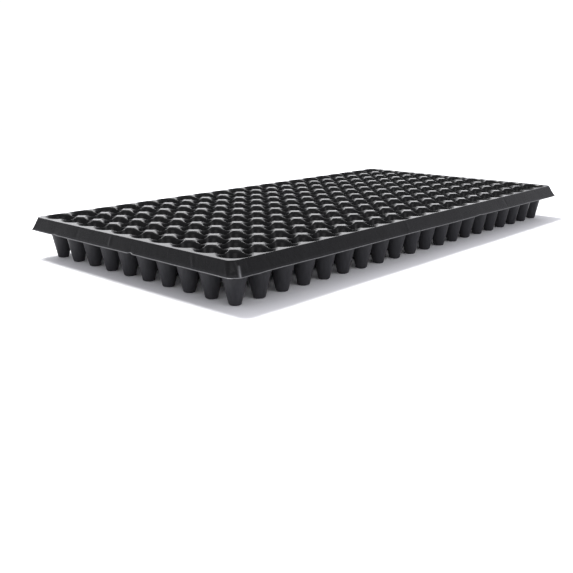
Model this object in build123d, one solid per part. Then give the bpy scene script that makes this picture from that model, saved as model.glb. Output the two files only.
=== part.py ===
from build123d import *
import os

# Nursery plug tray, formed from one sheet of black plastic.
# Frame: millimetres, +Z up, origin on the floor under the centre of the tray.
# X runs along the long side and Y along the short side.
# The one moulding is written as named regions, cut on plane lines so that neighbours meet
# face to face: the rows of cells, the flat rim round them, and the skirt that hangs from the rim.

# ---- driving dimensions, mm ----
ROWS = 20                 # rows of cells, counted along X
CELLS_PER_ROW = 10        # cells in a row, counted along Y
PITCH = 26.0              # centre to centre, both ways
TRAY_HEIGHT = 39.0        # floor to the top of the deck

DECK_SHEET = 0.8          # sheet left in the flat deck
CUP_WALL = 0.4            # sheet left in the drawn cup walls
CUP_FLOOR = 0.6           # sheet left in the cup floors

MOUTH_OVERLAP = 1.7       # how far a mouth runs past the half-pitch line, level with the deck
RIDGE_DROP = 1.85         # from the deck down to the saddle between two neighbouring mouths
MOUTH_LEAD = 0.6          # small lead-in that breaks the edge of the mouth
CUP_BASE_RADIUS = 4.9     # outside of the cup at the floor, before its corner is rounded
CUP_BASE_CORNER = 1.0     # rounding outside, between the cup's wall and its floor
DRAIN_RADIUS = 2.5        # drain hole in each cup floor

END_MARGIN = 5.5          # flat rim beyond the cells at the two short ends
SIDE_MARGIN = 2.75        # flat rim beyond the cells along the two long sides
RIM_CORNER = 7.0          # plan radius of the rim's corners
SKIRT_DEPTH = 12.0        # deck down to the skirt's lower edge
SKIRT_SHEET = 0.8         # sheet left in the skirt
END_FLARE = 3.6           # how far the skirt leans out on its way down, short ends
SIDE_FLARE = 6.35         # the same, long sides
SKIRT_CORNER = 7.0        # plan radius of the skirt's corners at its lower edge
LIP_WIDTH = 0.9           # trimmed lip turned out at the skirt's lower edge
LIP_SHEET = 0.6           # thickness of that lip

# ---- sizes worked out from them ----
GRID_X = ROWS * PITCH
GRID_Y = CELLS_PER_ROW * PITCH
RIM_X = GRID_X + 2 * END_MARGIN
RIM_Y = GRID_Y + 2 * SIDE_MARGIN
FOOT_X = RIM_X + 2 * END_FLARE
FOOT_Y = RIM_Y + 2 * SIDE_FLARE
LIP_X = FOOT_X + 2 * LIP_WIDTH
LIP_Y = FOOT_Y + 2 * LIP_WIDTH
DECK_UNDERSIDE = TRAY_HEIGHT - DECK_SHEET
SKIRT_FOOT = TRAY_HEIGHT - SKIRT_DEPTH
MOUTH_RADIUS = PITCH / 2 + MOUTH_OVERLAP
RIDGE_LEVEL = TRAY_HEIGHT - RIDGE_DROP
BORE_FLOOR_RADIUS = CUP_BASE_RADIUS - CUP_WALL
CORNER_BLOCK = max(RIM_CORNER, SKIRT_CORNER + END_FLARE, SKIRT_CORNER + SIDE_FLARE)
ABOVE = 1.0               # how far cutting tools run clear of the faces they cut


def row_x(row):
    """X of the centre line of a row, counted from 0."""
    return (row + 0.5) * PITCH - GRID_X / 2


def cell_y(cell):
    """Y of the centre of a cell in its row, counted from 0."""
    return (cell + 0.5) * PITCH - GRID_Y / 2


def revolved(points):
    """Solid of revolution about Z from an outline of (radius, height) points."""
    outline = Plane.XZ * make_face(Polyline(*points, close=True))
    return revolve(outline, Axis.Z)


def cup_bore():
    """The space inside one cup, from its floor to clear above the deck."""
    return revolved(
        [
            (0, CUP_FLOOR),
            (BORE_FLOOR_RADIUS, CUP_FLOOR),
            (PITCH / 2, RIDGE_LEVEL),
            (MOUTH_RADIUS - MOUTH_LEAD / 2, TRAY_HEIGHT - MOUTH_LEAD),
            (MOUTH_RADIUS + MOUTH_LEAD / 2, TRAY_HEIGHT),
            (MOUTH_RADIUS + MOUTH_LEAD / 2, TRAY_HEIGHT + ABOVE),
            (0, TRAY_HEIGHT + ABOVE),
        ]
    )


def cup_body():
    """The outside of one cup as a solid plug, up to the top of the deck."""
    wall_slope = (PITCH / 2 + CUP_WALL - CUP_BASE_RADIUS) / RIDGE_LEVEL
    return revolved(
        [
            (0, 0),
            (CUP_BASE_RADIUS - CUP_BASE_CORNER, 0),
            (CUP_BASE_RADIUS + wall_slope * CUP_BASE_CORNER, CUP_BASE_CORNER),
            (PITCH / 2 + CUP_WALL, RIDGE_LEVEL),
            (MOUTH_RADIUS + CUP_WALL, TRAY_HEIGHT - MOUTH_LEAD),
            (MOUTH_RADIUS + CUP_WALL, TRAY_HEIGHT),
            (0, TRAY_HEIGHT),
        ]
    )


def drain():
    """Cutting tool for a drain hole."""
    return Pos(0, 0, -ABOVE) * Cylinder(
        DRAIN_RADIUS, CUP_FLOOR + 2 * ABOVE, align=(Align.CENTER, Align.CENTER, Align.MIN)
    )


def block(x, y, z):
    """Box between three (low, high) pairs."""
    size = Box(x[1] - x[0], y[1] - y[0], z[1] - z[0], align=(Align.MIN,) * 3)
    return Pos(x[0], y[0], z[0]) * size


def cell():
    """One square of the moulding: its share of the deck, its cup and its drain hole."""
    half = PITCH / 2
    square = block((-half, half), (-half, half), (0, TRAY_HEIGHT))
    deck = block((-half, half), (-half, half), (DECK_UNDERSIDE, TRAY_HEIGHT))
    return (deck + (cup_body() & square)) - cup_bore() - drain()


def cell_row(one_cell, row):
    """A row of cells across the tray, side by side in one solid."""
    cells = [Pos(row_x(row), cell_y(i), 0) * one_cell for i in range(CELLS_PER_ROW)]
    return Part() + cells


def plan(length, width, corner, height):
    """Rounded rectangle in plan, at a height."""
    return Pos(0, 0, height) * RectangleRounded(length, width, corner)


def skirt_plug(inset):
    """Solid that fills the skirt from its foot to the top of the deck, drawn in by inset."""
    foot = plan(FOOT_X - 2 * inset, FOOT_Y - 2 * inset, SKIRT_CORNER - inset, SKIRT_FOOT)
    top = plan(RIM_X - 2 * inset, RIM_Y - 2 * inset, RIM_CORNER - inset, TRAY_HEIGHT)
    return loft([foot.face(), top.face()], ruled=True)


def rim_strip(x, y, centres):
    """A strip of flat rim, scalloped by the mouths of the outermost cells beside it."""
    strip = block(x, y, (0, TRAY_HEIGHT))
    deck = skirt_plug(0) & block(x, y, (DECK_UNDERSIDE, TRAY_HEIGHT))
    bodies = [(Pos(cx, cy, 0) * cup_body()) & strip for cx, cy in centres]
    bores = [Pos(cx, cy, 0) * cup_bore() for cx, cy in centres]
    return deck + bodies - bores


def skirt_ring():
    """The whole skirt with its turned-out lip, before it is cut into sides and corners."""
    wall = skirt_plug(0) - skirt_plug(SKIRT_SHEET)
    top = 2 * max(LIP_X, LIP_Y)
    wall = wall - block((-top, top), (-top, top), (DECK_UNDERSIDE, TRAY_HEIGHT + ABOVE))
    lip = extrude(plan(LIP_X, LIP_Y, SKIRT_CORNER + LIP_WIDTH, SKIRT_FOOT), LIP_SHEET)
    return wall + (lip - skirt_plug(SKIRT_SHEET))


def tray_parts():
    """Every node of the tray by name."""
    one_cell = cell()
    parts = {f"cell_row_{row + 1:02d}": cell_row(one_cell, row) for row in range(ROWS)}

    half_x, half_y = GRID_X / 2, GRID_Y / 2
    xs = [row_x(row) for row in range(ROWS)]
    ys = [cell_y(i) for i in range(CELLS_PER_ROW)]
    out_x, out_y = RIM_X / 2 + END_FLARE, RIM_Y / 2 + SIDE_FLARE
    parts["rim_front"] = rim_strip((-half_x, half_x), (-out_y, -half_y), [(x, ys[0]) for x in xs])
    parts["rim_back"] = rim_strip((-half_x, half_x), (half_y, out_y), [(x, ys[-1]) for x in xs])
    parts["rim_left"] = rim_strip((-out_x, -half_x), (-out_y, out_y), [(xs[0], y) for y in ys])
    parts["rim_right"] = rim_strip((half_x, out_x), (-out_y, out_y), [(xs[-1], y) for y in ys])

    ring = skirt_ring()
    far_x, far_y = LIP_X / 2 + ABOVE, LIP_Y / 2 + ABOVE
    in_x, in_y = LIP_X / 2 - CORNER_BLOCK, LIP_Y / 2 - CORNER_BLOCK
    tall = (0, TRAY_HEIGHT)
    low_x, mid_x, high_x = (-far_x, -in_x), (-in_x, in_x), (in_x, far_x)
    low_y, mid_y, high_y = (-far_y, -in_y), (-in_y, in_y), (in_y, far_y)
    parts["skirt_front"] = ring & block(mid_x, low_y, tall)
    parts["skirt_back"] = ring & block(mid_x, high_y, tall)
    parts["skirt_left"] = ring & block(low_x, mid_y, tall)
    parts["skirt_right"] = ring & block(high_x, mid_y, tall)
    parts["skirt_corner_front_left"] = ring & block(low_x, low_y, tall)
    parts["skirt_corner_front_right"] = ring & block(high_x, low_y, tall)
    parts["skirt_corner_back_left"] = ring & block(low_x, high_y, tall)
    parts["skirt_corner_back_right"] = ring & block(high_x, high_y, tall)
    return parts


os.makedirs("parts", exist_ok=True)
for name, shape in tray_parts().items():
    shape.label = name
    export_step(shape, f"parts/{name}.step")
    print(name, len(shape.solids()), round(shape.volume, 1))
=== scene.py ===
import math

import bmesh
import bpy
from mathutils import Matrix, Vector, noise


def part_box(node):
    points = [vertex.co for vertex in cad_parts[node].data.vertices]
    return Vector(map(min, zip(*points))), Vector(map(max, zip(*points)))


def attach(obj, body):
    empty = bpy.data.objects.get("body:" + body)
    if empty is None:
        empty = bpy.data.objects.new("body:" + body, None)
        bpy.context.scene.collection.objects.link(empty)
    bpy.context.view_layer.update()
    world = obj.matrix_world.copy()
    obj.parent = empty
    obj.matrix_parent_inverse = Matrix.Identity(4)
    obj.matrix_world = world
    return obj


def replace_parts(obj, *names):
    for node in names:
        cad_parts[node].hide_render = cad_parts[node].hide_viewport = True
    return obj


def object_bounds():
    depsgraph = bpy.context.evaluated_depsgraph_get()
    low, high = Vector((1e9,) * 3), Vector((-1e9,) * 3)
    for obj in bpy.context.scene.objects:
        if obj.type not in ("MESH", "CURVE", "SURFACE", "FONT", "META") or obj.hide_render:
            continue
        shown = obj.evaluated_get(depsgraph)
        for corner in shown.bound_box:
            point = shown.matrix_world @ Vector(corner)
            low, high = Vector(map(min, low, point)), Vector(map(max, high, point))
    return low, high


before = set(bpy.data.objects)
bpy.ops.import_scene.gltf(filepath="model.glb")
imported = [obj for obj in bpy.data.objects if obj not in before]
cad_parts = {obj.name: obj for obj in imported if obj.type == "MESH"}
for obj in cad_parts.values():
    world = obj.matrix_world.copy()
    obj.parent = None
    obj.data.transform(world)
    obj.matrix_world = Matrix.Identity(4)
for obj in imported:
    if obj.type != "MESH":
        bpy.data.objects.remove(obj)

CAD_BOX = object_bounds()
MM = 0.001

# ---- Viewpoint -------------------------------------------------------------------------
# A small studio table seen from a little above the deck, off the near corner of the tray,
# with the long side running away to the right.
tray_high = CAD_BOX[1]
EYE = Vector((-0.6365, -0.5251, tray_high.z + 0.1294))
HEADING = math.radians(42.42)        # of the line of sight, from +X towards +Y
DIP = math.radians(10.46)            # of the line of sight below level

camera_data = bpy.data.cameras.new("studio_camera")
camera_data.lens = 48.96
camera_data.sensor_width = 36.0
camera_data.shift_y = -0.116
camera_data.clip_end = 50.0
camera = bpy.data.objects.new("studio_camera", camera_data)
camera.location = EYE
camera.rotation_euler = (math.pi / 2 - DIP, 0.0, HEADING - math.pi / 2)
bpy.context.scene.collection.objects.link(camera)
bpy.context.scene.camera = camera


# ---- Finishes --------------------------------------------------------------------------
# Every finish is worked out on the surface's own coordinates. Term stands for a number that
# the shader works out, so that masks read as plain sums.
class Term:
    def __init__(self, finish, socket):
        self.finish = finish
        self.socket = socket

    def maths(self, operation, *terms, clamp=False):
        sockets = dict(enumerate([self, *terms]))
        node = self.finish.add("Math", {"operation": operation, "use_clamp": clamp}, sockets)
        return Term(self.finish, node.outputs[0])

    def __add__(self, other):
        return self.maths("ADD", other)

    def __sub__(self, other):
        return self.maths("SUBTRACT", other)

    def __mul__(self, other):
        return self.maths("MULTIPLY", other)

    def __rsub__(self, other):
        return (self * -1.0) + other

    __radd__ = __add__
    __rmul__ = __mul__


class Finish:
    """A material and the one way that its nodes are added."""

    def __init__(self, name):
        self.material = bpy.data.materials.new(name)
        self.material.use_nodes = True
        self.tree = self.material.node_tree
        self.shader = self.tree.nodes["Principled BSDF"]

    def add(self, kind, settings, sockets):
        node = self.tree.nodes.new("ShaderNode" + kind)
        for key, value in settings.items():
            if key == "stops":
                ramp = node.color_ramp
                for stop, (place, colour) in zip(ramp.elements, value):
                    stop.position = place
                    stop.color = colour
            else:
                setattr(node, key, value)
        self.feed(node, sockets)
        return node

    def feed(self, node, sockets):
        for key, value in sockets.items():
            if isinstance(value, Term):
                self.tree.links.new(value.socket, node.inputs[key])
            else:
                node.inputs[key].default_value = value

    def term(self, node, output=0):
        return Term(self, node.outputs[output])


# ---- Table and light -------------------------------------------------------------------
# Matt white table top in a white room. A large key light hangs high behind the tray, and a
# bright wall beyond it is what the deck reflects. Three weaker lights stand low at its left
# end, off its near corner and along its front.
TABLE_HALF = 1.75                    # half the table top's side
TABLE_WHITE = (0.70, 0.70, 0.71, 1)
TABLE_PALE = (0.72, 0.72, 0.73, 1)
ROOM_WHITE = (0.94, 0.94, 1.0, 1)
ROOM_STRENGTH = 1.1


def table_top():
    finish = Finish("matt_white_table")
    place = finish.term(finish.add("TexCoord", {}, {}), "Object")
    grain = finish.add("TexNoise", {}, {"Vector": place, "Scale": 3.0, "Detail": 2.0})
    tone = finish.add(
        "ValToRGB",
        {"stops": [(0.3, TABLE_WHITE), (0.7, TABLE_PALE)]},
        {"Fac": finish.term(grain)},
    )
    finish.feed(finish.shader, {"Base Color": finish.term(tone), "Roughness": 0.9})
    finish.feed(finish.shader, {"Specular IOR Level": 0.1})
    top = bmesh.new()
    bmesh.ops.create_grid(top, x_segments=1, y_segments=1, size=TABLE_HALF)
    mesh = bpy.data.meshes.new("table_top")
    top.to_mesh(mesh)
    top.free()
    mesh.materials.append(finish.material)
    table = bpy.data.objects.new("table_top", mesh)
    bpy.context.scene.collection.objects.link(table)


def soft_box(name, place, aim, size, power, colour):
    lamp = bpy.data.lights.new(name, "AREA")
    lamp.shape = "RECTANGLE"
    lamp.size, lamp.size_y = size
    lamp.energy = power
    lamp.color = colour
    box = bpy.data.objects.new(name, lamp)
    box.location = place
    box.rotation_euler = (Vector(aim) - Vector(place)).to_track_quat("-Z", "Y").to_euler()
    bpy.context.scene.collection.objects.link(box)


def room():
    world = bpy.data.worlds.new("white_room")
    world.use_nodes = True
    back = world.node_tree.nodes["Background"]
    back.inputs["Color"].default_value = ROOM_WHITE
    back.inputs["Strength"].default_value = ROOM_STRENGTH
    bpy.context.scene.world = world


table_top()
room()
soft_box("key_box", (-0.1, 1.55, 3.4), (0.0, 0.0, 0.0), (1.3, 1.3), 290.0, (1, 1, 0.99))
soft_box("back_wall", (1.5, 1.9, 0.75), (0.0, 0.0, 0.0), (2.8, 1.3), 18.5, (1, 1, 1))
soft_box("low_box", (-2.4, 0.5, 0.22), (0.0, 0.0, 0.02), (1.6, 0.4), 3.5, (0.97, 0.98, 1))
soft_box("left_box", (-2.0, -1.7, 1.2), (-0.2, -0.1, 0.0), (1.0, 1.0), 9.0, (1, 1, 1))
soft_box("strip_box", (-0.1, -2.4, 1.3), (0.0, 0.0, 0.0), (0.5, 1.4), 12.0, (0.98, 0.98, 1))
bpy.context.scene.view_settings.view_transform = "Standard"


# ---- Formed sheet ----------------------------------------------------------------------
# Black polystyrene sheet, drawn down into a mould while hot. The flat deck keeps the sheet's
# own gloss, the drawn walls are paler (thinned sheet, with painted light added), the skirt is a
# little paler as painted light, painted highlights lie on the crests, corner folds and lip, and
# dust settles.
WALLS_BELOW = 26.0 * MM              # height under which only the drawn walls are left
MOTTLE_SCALE, STREAK_SCALE = 70.0, 420.0
GRAIN_SCALE, SPECK_SCALE = 900.0, 320.0
SPECK_REACH = 0.075                  # size of a dust speck, as a share of its cell
SHEET_BLACK = (0.002, 0.002, 0.002, 1)
# Paler end of the sheet's tone, reached by the drawn walls (thinned sheet plus painted light), the
# skirt's painted light, mottle, streaks and dust.
PALE_AND_PAINTED_LIGHT_GREY = (0.060, 0.060, 0.066, 1)
# Grey of the painted highlights on the ridge crests, the corner folds and the lip.
PAINTED_HIGHLIGHT_GREY = (0.30, 0.30, 0.31, 1)


def formed_plastic():
    finish = Finish("black_formed_sheet")
    place = finish.term(finish.add("TexCoord", {}, {}), "Object")
    parts = finish.add("SeparateXYZ", {}, {"Vector": place})
    height = finish.term(parts, "Z")
    mottle = finish.term(
        finish.add("TexNoise", {}, {"Vector": place, "Scale": MOTTLE_SCALE, "Detail": 5.0})
    )
    grain = finish.term(
        finish.add("TexNoise", {}, {"Vector": place, "Scale": GRAIN_SCALE, "Detail": 3.0})
    )
    pulled = finish.add("Mapping", {}, {"Vector": place, "Scale": (1.0, 1.0, 0.12)})
    drawn_out = {"Vector": finish.term(pulled), "Scale": STREAK_SCALE, "Detail": 3.0}
    streaks = finish.term(finish.add("TexNoise", {}, drawn_out))
    specks = finish.term(
        finish.add("TexVoronoi", {}, {"Vector": place, "Scale": SPECK_SCALE, "Randomness": 1.0})
    )
    # Painted highlights on the crests, folds and lip, stored on the mesh.
    painted_highlight = finish.term(finish.add("Attribute", {"attribute_name": "painted_highlight"}, {}), "Fac")
    # The skirt's mask, which makes it a little paler as painted light on its sides.
    skirt_painted_light = finish.term(finish.add("Attribute", {"attribute_name": "skirt"}, {}), "Fac")
    # Below WALLS_BELOW the walls grow paler: partly the thinned drawn sheet, partly painted light.
    drawn_and_painted_light = ((WALLS_BELOW - height) * 130.0 + 0.5).maths("MAXIMUM", 0.0, clamp=True)
    dust = ((SPECK_REACH - specks) * 22.0).maths("MAXIMUM", 0.0, clamp=True)
    dust = dust * ((mottle - 0.5) * 6.0).maths("MAXIMUM", 0.0, clamp=True)
    streaked = (streaks - 0.5) * (0.10 + drawn_and_painted_light * 0.25)
    # Paler tone of the drawn walls (partly painted light), painted light on the skirt, mottle,
    # streaks and dust.
    pale_and_painted_light = 0.01 + drawn_and_painted_light * 0.40 + skirt_painted_light * 0.02 + mottle * 0.03 + streaked
    pale_and_painted_light = (pale_and_painted_light + dust * 0.5).maths("MAXIMUM", 0.0, clamp=True)
    tone = finish.add(
        "ValToRGB",
        {"stops": [(0.0, SHEET_BLACK), (1.0, PALE_AND_PAINTED_LIGHT_GREY)]},
        {"Fac": pale_and_painted_light},
    )
    # Painted highlights mixed in on the crests, folds and lip, broken up by the streaks.
    edge = finish.add(
        "MixRGB",
        {},
        {
            "Fac": (painted_highlight * (0.35 + streaks * 0.9)).maths("MINIMUM", 0.9, clamp=True),
            "Color1": finish.term(tone),
            "Color2": PAINTED_HIGHLIGHT_GREY,
        },
    )
    relief = grain * 0.6 + streaks * 0.8
    bump = finish.add("Bump", {}, {"Strength": 0.10, "Distance": 0.0002, "Height": relief})
    finish.feed(
        finish.shader,
        {
            "Base Color": finish.term(edge),
            "Roughness": 0.20 + mottle * 0.14 + drawn_and_painted_light * 0.08 + dust * 0.3,
            "Normal": finish.term(bump),
            "Specular IOR Level": 0.10,
        },
    )
    return finish.material


SHEET = formed_plastic()


# ---- Cell rows -------------------------------------------------------------------------
# Twenty rows of ten cups, drawn down from the flat deck in one pull. A cup is round, tapers
# to a flat floor with a punched drain hole, and runs into its neighbours at a low ridge.
ROW_NODES = sorted(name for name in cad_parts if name.startswith("cell_row_"))
CELLS_PER_ROW = 10
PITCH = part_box(ROW_NODES[0])[1].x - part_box(ROW_NODES[0])[0].x
HALF = PITCH / 2
DECK = tray_high.z
SHEET_THICK = 0.5 * MM
CUP_FLOOR = 0.6 * MM
FLOOR_RADIUS = 4.5 * MM              # inside, where the wall would meet the floor
DRAIN_RADIUS = 2.5 * MM
MOUTH_OVERLAP = 1.9 * MM             # a mouth runs this far past the line to its neighbour
RIDGE_DROP = 1.5 * MM                # from the deck to the saddle between two mouths
SEAM = 2.15 * MM                     # flat deck kept with the outermost cells
CORNER_CUT = 17.5 * MM               # from a corner cell's axis to the cut across its corner
CUP_SIDES = 64
DECK_REACH = 1.7                     # of the spun deck, in half pitches from the cup's axis
ARC_STEP = math.radians(18)          # of the arcs that round an outline
SAME_POINT = 2e-6                    # points this close are merged
CREST_PAINTED_HIGHLIGHT = 0.10                    # painted highlight on a ridge's crest, fading down to the saddle
CREST_WIDTH = 0.45 * MM              # of the painted highlight strip, to each side of the crest
LINE_GAP = 0.03 * MM                 # least gap from the lower surface to a line between cells
RIDGE_BLEND = 1.3 * MM               # height over which a ridge is rounded
RIDGE_SCORES = [gap * MM for gap in (-0.5, -0.32, -0.15, 0.15, 0.32, 0.5)]


def rounded(corners):
    """Outline through (radius, height, rounding) corners, each rounded by an arc."""
    outline = [Vector(corners[0][:2])]
    for before, (r, z, rounding), after in zip(corners, corners[1:], corners[2:]):
        corner = Vector((r, z))
        back = (Vector(before[:2]) - corner).normalized()
        ahead = (Vector(after[:2]) - corner).normalized()
        half = back.angle(ahead) / 2
        centre = corner + (back + ahead).normalized() * rounding / math.sin(half)
        start = corner + back * rounding / math.tan(half) - centre
        end = corner + ahead * rounding / math.tan(half) - centre
        turn = start.angle_signed(end)
        steps = max(2, round(abs(turn) / ARC_STEP))
        for i in range(steps + 1):
            outline.append(centre + Matrix.Rotation(-turn * i / steps, 2) @ start)
    outline.append(Vector(corners[-1][:2]))
    return outline


def cup_outline():
    return rounded(
        [
            (DRAIN_RADIUS, CUP_FLOOR, 0),
            (FLOOR_RADIUS, CUP_FLOOR, 1.1 * MM),
            (HALF, DECK - RIDGE_DROP, 4.0 * MM),
            (HALF + MOUTH_OVERLAP, DECK, 0.3 * MM),
            (HALF * DECK_REACH, DECK, 0),
        ]
    )


def spun(outline):
    """Surface of revolution of an outline, as a bmesh."""
    shape = bmesh.new()
    points = [shape.verts.new((p.x, 0, p.y)) for p in outline]
    edges = [shape.edges.new(pair) for pair in zip(points, points[1:])]
    bmesh.ops.spin(
        shape, geom=points + edges, cent=(0, 0, 0), axis=(0, 0, 1),
        angle=math.tau, steps=CUP_SIDES, use_merge=True,
    )
    bmesh.ops.remove_doubles(shape, verts=shape.verts, dist=1e-7)
    return shape


def trim(shape, point, normal):
    """Cuts a bmesh on a plane and throws away what lies on the normal's side."""
    geom = shape.verts[:] + shape.edges[:] + shape.faces[:]
    bmesh.ops.bisect_plane(
        shape, geom=geom, dist=1e-7, plane_co=point, plane_no=normal, clear_outer=True
    )


def trimmed_copy(shape, low, high):
    """The part of a bmesh inside a rectangle in plan."""
    kept = shape.copy()
    for axis in range(2):
        normal = Vector((0, 0, 0))
        normal[axis] = 1.0
        trim(kept, normal * high[axis], normal)
        trim(kept, normal * low[axis], -normal)
    return kept


def add(shape, other, shift):
    """Adds a shifted copy of one bmesh to another."""
    carrier = bpy.data.meshes.new("carrier")
    other.to_mesh(carrier)
    carrier.transform(Matrix.Translation(shift))
    shape.from_mesh(carrier)
    bpy.data.meshes.remove(carrier)


def score(shape, lines):
    """Cuts a bmesh along lines of constant X and of constant Y, throwing nothing away."""
    for axis in range(2):
        normal = Vector((0, 0, 0))
        normal[axis] = 1.0
        for line in lines:
            geom = shape.verts[:] + shape.edges[:] + shape.faces[:]
            bmesh.ops.bisect_plane(
                shape, geom=geom, dist=1e-6, plane_co=normal * line, plane_no=normal
            )


def height_at(outline, radius):
    """Height of a cup's outline at a distance from the cup's axis."""
    for low, high in zip(outline, outline[1:]):
        if low.x <= radius < high.x:
            return low.y + (high.y - low.y) * (radius - low.x) / (high.x - low.x)
    return DECK


def soften_ridges(shape, centres, outline):
    """Rounds the crests where neighbouring mouths cut into each other, but not the deck."""
    for vertex in shape.verts:
        drop = DECK - vertex.co.z
        if not 1e-6 < drop < 2.5 * RIDGE_DROP:
            continue
        near = sorted((vertex.co.xy - centre).length for centre in centres)
        blend = RIDGE_BLEND * min(1.0, drop / (0.4 * MM))
        apart = abs(height_at(outline, near[1]) - height_at(outline, near[0]))
        vertex.co.z -= max(0.0, blend - apart) ** 2 / (4 * blend)


def reach(side):
    """Low and high edge of a cell's square, which runs on to the seam on an outer side."""
    return -HALF - SEAM * (side < 0), HALF + SEAM * (side > 0)


def cell_kinds():
    """The nine kinds of cell by (side in X, side in Y), -1, 0 or 1: corner, edge and middle."""
    outline = cup_outline()
    cup = spun(outline)
    sides = [(i, j) for i in (-1, 0, 1) for j in (-1, 0, 1)]
    patch = bmesh.new()
    for i, j in sides:
        square = trimmed_copy(cup, *zip(reach(i), reach(j)))
        add(patch, square, (i * PITCH, j * PITCH, 0))
        square.free()
    bmesh.ops.remove_doubles(patch, verts=patch.verts, dist=SAME_POINT)
    beside = [side * (HALF + gap) for side in (-1, 1) for gap in RIDGE_SCORES]
    score(patch, beside)
    bmesh.ops.remove_doubles(patch, verts=patch.verts, dist=1e-5)
    soften_ridges(patch, [Vector((i, j)) * PITCH for i, j in sides], outline)
    kinds = {}
    for i, j in sides:
        centre = Vector((i * PITCH, j * PITCH, 0))
        low, high = (Vector((*edge, 0)) + centre for edge in zip(reach(i), reach(j)))
        moved = trimmed_copy(patch, low, high)
        bmesh.ops.translate(moved, verts=moved.verts, vec=-centre)
        if i and j:
            outward = Vector((i, j, 0)).normalized()
            trim(moved, outward * CORNER_CUT, outward)
        kinds[i, j] = moved
    return kinds


def side_of(index, count):
    return (index == count - 1) - (index == 0)


def mark_crests(piece):
    """Stores the painted highlights of the upper surface at its vertices, for the finish to read.
    """
    values = piece.data.attributes.new("painted_highlight", "FLOAT", "POINT").data
    for vertex, value in zip(piece.data.vertices, values):
        value.value = crest_painted_highlight(vertex.co) if vertex.normal.z > 0 else 0.0


def crest_painted_highlight(place):
    """Painted highlight on the crests between mouths, fading down to the saddle."""
    drop = (DECK - place.z) / RIDGE_DROP
    if not 0.02 < drop < 1.3:
        return 0.0
    highlight_share = 0.0
    for axis, count in ((0, len(ROW_NODES)), (1, CELLS_PER_ROW)):
        lines = place[axis] / PITCH + count / 2
        inside = 0 < round(lines) < count
        if inside and abs(lines - round(lines)) * PITCH < CREST_WIDTH:
            highlight_share = CREST_PAINTED_HIGHLIGHT * max(0.0, 1 - 0.6 * drop)
    return highlight_share


def placed(name, shape):
    """Makes an object of a bmesh in the sheet's finish, smooth but for its level faces."""
    mesh = bpy.data.meshes.new(name)
    shape.to_mesh(mesh)
    shape.free()
    for face in mesh.polygons:
        face.use_smooth = abs(face.normal.z) < 0.9999
    mesh.materials.append(SHEET)
    piece = bpy.data.objects.new(name, mesh)
    bpy.context.scene.collection.objects.link(piece)
    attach(piece, "root")
    return piece


def under(place, normal, thickness):
    """The point under a point of the sheet, kept on its own side of the lines between cells."""
    lower = place - normal * thickness
    for axis, count in ((0, len(ROW_NODES)), (1, CELLS_PER_ROW)):
        line = PITCH * (round(place[axis] / PITCH + count / 2) - count / 2)
        away = place[axis] - line
        if abs(line) > PITCH * count / 2 - HALF or abs(away) > HALF / 2:
            continue
        if abs(away) < 1e-6:
            lower[axis] = line
        elif (lower[axis] - line) * math.copysign(1, away) < LINE_GAP + abs(away) / 10:
            lower[axis] = line + math.copysign(LINE_GAP + abs(away) / 10, away)
    return lower


def thicken(shape, thickness):
    """Closes an upper surface with a lower one at the sheet's thickness."""
    bmesh.ops.recalc_face_normals(shape, faces=shape.faces)
    shape.normal_update()
    if sum(f.normal.z * f.calc_area() for f in shape.faces) < 0:
        bmesh.ops.reverse_faces(shape, faces=shape.faces)
    shape.normal_update()
    tops, rims = shape.faces[:], [e for e in shape.edges if e.is_boundary]
    lower = {v: shape.verts.new(under(v.co, v.normal, thickness)) for v in shape.verts[:]}
    for face in tops:
        shape.faces.new([lower[v] for v in reversed(face.verts)])
    for edge in rims:
        first, second = edge.verts
        if edge.link_loops[0].vert is first:
            first, second = second, first
        shape.faces.new((first, second, lower[second], lower[first]))


kinds = cell_kinds()
for index, node in enumerate(ROW_NODES):
    low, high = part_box(node)
    row = bmesh.new()
    for cell in range(CELLS_PER_ROW):
        kind = kinds[side_of(index, len(ROW_NODES)), side_of(cell, CELLS_PER_ROW)]
        add(row, kind, ((low.x + high.x) / 2, low.y + PITCH * (cell + 0.5), 0))
    bmesh.ops.remove_doubles(row, verts=row.verts, dist=SAME_POINT)
    thicken(row, SHEET_THICK)
    piece = placed(node + "_cups", row)
    mark_crests(piece)
    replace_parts(piece, node)


# ---- Rim and skirt ---------------------------------------------------------------------
# The flat border of the same sheet, turned down over a small radius into a skirt that leans
# out to the foot, where the trimming knife left a narrow turned-out lip.
EDGE_NODES = sorted(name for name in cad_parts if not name.startswith("cell_row_"))
END_MARGIN = 5.5 * MM                # flat rim beyond the cells at the short ends
SIDE_MARGIN = 2.75 * MM              # and along the long sides
RIM_CORNER = 7.0 * MM
EDGE_ROUNDING = 0.5 * MM
LIP = 0.9 * MM
LIP_TOP = 0.6 * MM                   # above the foot of the skirt
FACET = 1.3 * MM                     # how far the skirt's corners are flattened
CLEARANCE = 0.15 * MM                # keeps the wavy lip inside the tray's outline
SKIRT_STEPS = 14
CORNER_STEPS = 20
# Painted highlight along the lip, stronger round the corners.
LIP_PAINTED_HIGHLIGHT = 0.35
# Painted highlight on the upright fold at the long-side end of each corner.
FOLD_PAINTED_HIGHLIGHT = 0.6
SPAN = 1.2 * MM                      # between points along the straight sides
EDGE_GAP = 0.03 * MM                 # least gap between the sheet and the tray's outline
SLOW_WAVE, QUICK_WAVE = 14, 60       # waves of the sheet's two unevennesses, per metre
CRUMPLE_WAVE = 420                   # and of the crumples at the corners
WAVE_OUT, BULGE = 0.35 * MM, 0.5 * MM
WAVE_UP, RIPPLE_UP = 0.45 * MM, 0.12 * MM
CRUMPLE_OUT = 1.3 * MM

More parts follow.
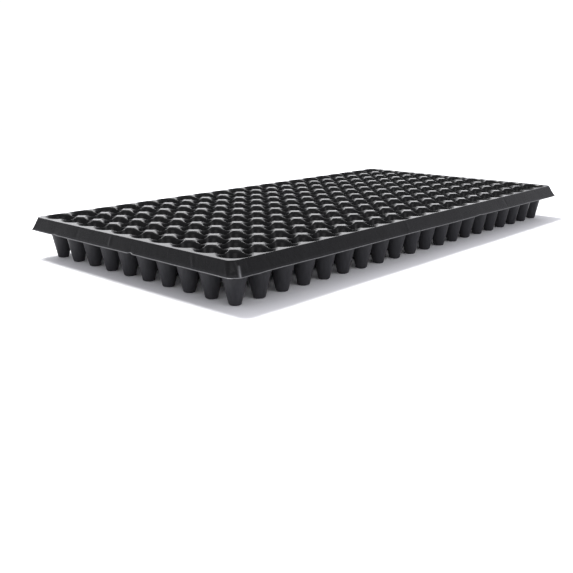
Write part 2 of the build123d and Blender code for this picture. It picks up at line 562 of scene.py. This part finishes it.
grid = Vector((PITCH * len(ROW_NODES), PITCH * CELLS_PER_ROW)) / 2
rim = grid + Vector((END_MARGIN, SIDE_MARGIN))
core = rim - Vector((RIM_CORNER, RIM_CORNER))
flare = tray_high.xy - rim - Vector((LIP + CLEARANCE, LIP + CLEARANCE))
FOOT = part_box("skirt_front")[0].z


def edge_points():
    """(place on the core rectangle, outward direction) all the way round the tray."""
    turns = []
    for sx, sy in ((1, -1), (1, 1), (-1, 1), (-1, -1)):
        middle = math.atan2(sy, sx)
        for i in range(CORNER_STEPS + 1):
            angle = middle + (i / CORNER_STEPS - 0.5) * math.pi / 2
            turns.append((Vector((sx, sy)), Vector((math.cos(angle), math.sin(angle)))))
    points = []
    for (here, facing), (there, _) in zip(turns, turns[1:] + turns[:1]):
        length = ((there - here) * core).length
        spans = max(1, round(length / SPAN))
        points += [(here.lerp(there, k / spans), facing) for k in range(spans)]
    return points


def skirt_path():
    """(share of the lean, outward shift, height) from the deck's edge to the lip's."""
    path = [(0, EDGE_ROUNDING * (math.sin(turn) - 1), DECK - EDGE_ROUNDING * (1 - math.cos(turn)))
            for turn in (math.radians(angle) for angle in (0, 22, 44, 66))]
    top, bottom = path[-1][2], FOOT + LIP_TOP + 0.5 * MM
    for i in range(1, SKIRT_STEPS + 1):
        share = i / SKIRT_STEPS
        path.append((share, 0, top + (bottom - top) * share))
    path.append((1, 0.12 * MM, FOOT + LIP_TOP + 0.2 * MM))
    path.append((1, 0.35 * MM, FOOT + LIP_TOP))
    path.append((1, LIP, FOOT + LIP_TOP))
    return path


# Faults of the formed edge: (place on the core rectangle, half width, outward, upward).
# They are the pulls at the corners and the small dents that handling leaves.
DENTS = [
    ((-1.0, -0.14), 2.2 * MM, -0.6 * MM, 0.9 * MM),
    ((-1.0, -0.95), 3.0 * MM, -0.2 * MM, -0.2 * MM),
    ((-0.985, -1.0), 3.0 * MM, -0.2 * MM, -0.2 * MM),
    ((-0.93, -1.0), 4.0 * MM, -0.2 * MM, -0.2 * MM),
    ((-1.0, 0.72), 3.5 * MM, -0.4 * MM, 0.5 * MM),
    ((0.31, -1.0), 5.0 * MM, -0.3 * MM, 0.4 * MM),
    ((0.96, 1.0), 3.0 * MM, -0.5 * MM, 0.7 * MM),
    ((0.2, 1.0), 4.0 * MM, -0.4 * MM, 0.5 * MM),
]
# Upright creases where the hot sheet folded against the mould: (place, half width, outward).
CREASES = [
    ((-1.0, 0.085), 1.3 * MM, 0.8 * MM),
    ((-1.0, -0.72), 1.3 * MM, 0.6 * MM),
    ((-1.0, 0.47), 1.5 * MM, -0.3 * MM),
    ((-0.965, -1.0), 1.4 * MM, -0.4 * MM),
    ((-0.18, -1.0), 1.4 * MM, 0.3 * MM),
    ((0.55, -1.0), 1.4 * MM, -0.3 * MM),
    ((1.0, 0.3), 1.3 * MM, 0.4 * MM),
    ((0.4, 1.0), 1.3 * MM, 0.4 * MM),
]


def bell(place, centre, width):
    """1 at the centre of a fault, falling to nothing past its half width."""
    away = ((place - Vector(centre)) * core).length / width
    return math.exp(-away * away)


def turn_of(facing):
    """0 where the edge runs straight, 1 in the middle of a corner."""
    return min(abs(facing.x), abs(facing.y)) * math.sqrt(2)


def fold_at(place, facing):
    """1 on the two upright folds of each corner, where its arc meets the straight sides."""
    corner = Vector((math.copysign(1, place.x), math.copysign(1, place.y)))
    return math.exp(-((turn_of(facing) / 0.2) ** 2)) * bell(place, corner, 0.8 * MM)


def sheet_point(place, facing, lean, out, z):
    """A point of the rim or skirt, with the sheet's slow waves and its dents and creases."""
    spot = place * core + facing * RIM_CORNER
    slow = noise.noise(Vector((*(spot * SLOW_WAVE), 0.3)))
    quick = noise.noise(Vector((*(spot * QUICK_WAVE), 5.1 + z * QUICK_WAVE)))
    out += lean * (slow - 0.6) * WAVE_OUT + lean * (1 - lean) * quick * BULGE
    z += lean * lean * (slow * WAVE_UP + quick * RIPPLE_UP)
    for centre, width, outward, upward in DENTS:
        share = bell(place, centre, width) * lean ** 4
        out += share * outward
        z += share * upward
    for centre, width, outward in CREASES:
        out += bell(place, centre, width) * outward * lean * (1 - lean) * 3
    turned = turn_of(facing)
    crumple = noise.noise(Vector((*spot, z)) * CRUMPLE_WAVE)
    out += fold_at(place, facing) * lean * WAVE_OUT - lean * turned * FACET
    out += min(1, turned * 3) * lean ** 5 * crumple * CRUMPLE_OUT
    stretched = place * (core + flare * lean)
    spread = stretched + facing * (RIM_CORNER + out)
    for axis in range(2):
        limit = tray_high[axis] - EDGE_GAP
        spread[axis] = max(-limit, min(limit, spread[axis]))
    return Vector((*spread, z))


def seam_outline():
    """Where the outermost cells end and the rim begins, with the cuts across the corners."""
    far = grid + Vector((SEAM, SEAM))
    near = grid - Vector((HALF, HALF)) + Vector((1, 1)) * (CORNER_CUT * math.sqrt(2) - HALF - SEAM)
    spots = []
    for sx, sy in ((1, -1), (1, 1), (-1, 1), (-1, -1)):
        pair = [Vector((sx * near.x, sy * far.y)), Vector((sx * far.x, sy * near.y))]
        spots += pair if sx * sy < 0 else pair[::-1]
    return spots


def rim_and_skirt():
    points = edge_points()
    shape = bmesh.new()
    painted_highlight = shape.verts.layers.float.new("painted_highlight")
    skirt = shape.verts.layers.float.new("skirt")
    seam = [shape.verts.new((*spot, DECK)) for spot in seam_outline()]
    path = skirt_path()
    rings = [[shape.verts.new(sheet_point(*point, *step)) for point in points] for step in path]
    around = [shape.edges.new(pair) for ring in (seam, rings[0])
              for pair in zip(ring, ring[1:] + ring[:1])]
    bmesh.ops.triangle_fill(shape, use_beauty=True, edges=around)
    for above, below in zip(rings, rings[1:]):
        for i in range(len(points)):
            shape.faces.new((above[i - 1], below[i - 1], below[i], above[i]))
    for (lean, _, _), ring in zip(path, rings):
        for vertex, (place, facing) in zip(ring, points):
            # Marks the skirt for its painted light.
            vertex[skirt] = 1.0 if lean > 0 else 0.0
            # Painted highlight on the corner folds.
            if lean > 0.35 and abs(facing.y) > abs(facing.x):
                vertex[painted_highlight] = FOLD_PAINTED_HIGHLIGHT * lean * fold_at(place, facing)
    # Painted highlight along the lip's two outer rings.
    for vertex, (_, facing) in zip(rings[-1] + rings[-2], points + points):
        vertex[painted_highlight] = LIP_PAINTED_HIGHLIGHT + 0.4 * turn_of(facing)
    thicken(shape, SHEET_THICK)
    return shape


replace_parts(placed("rim_and_skirt", rim_and_skirt()), *EDGE_NODES)
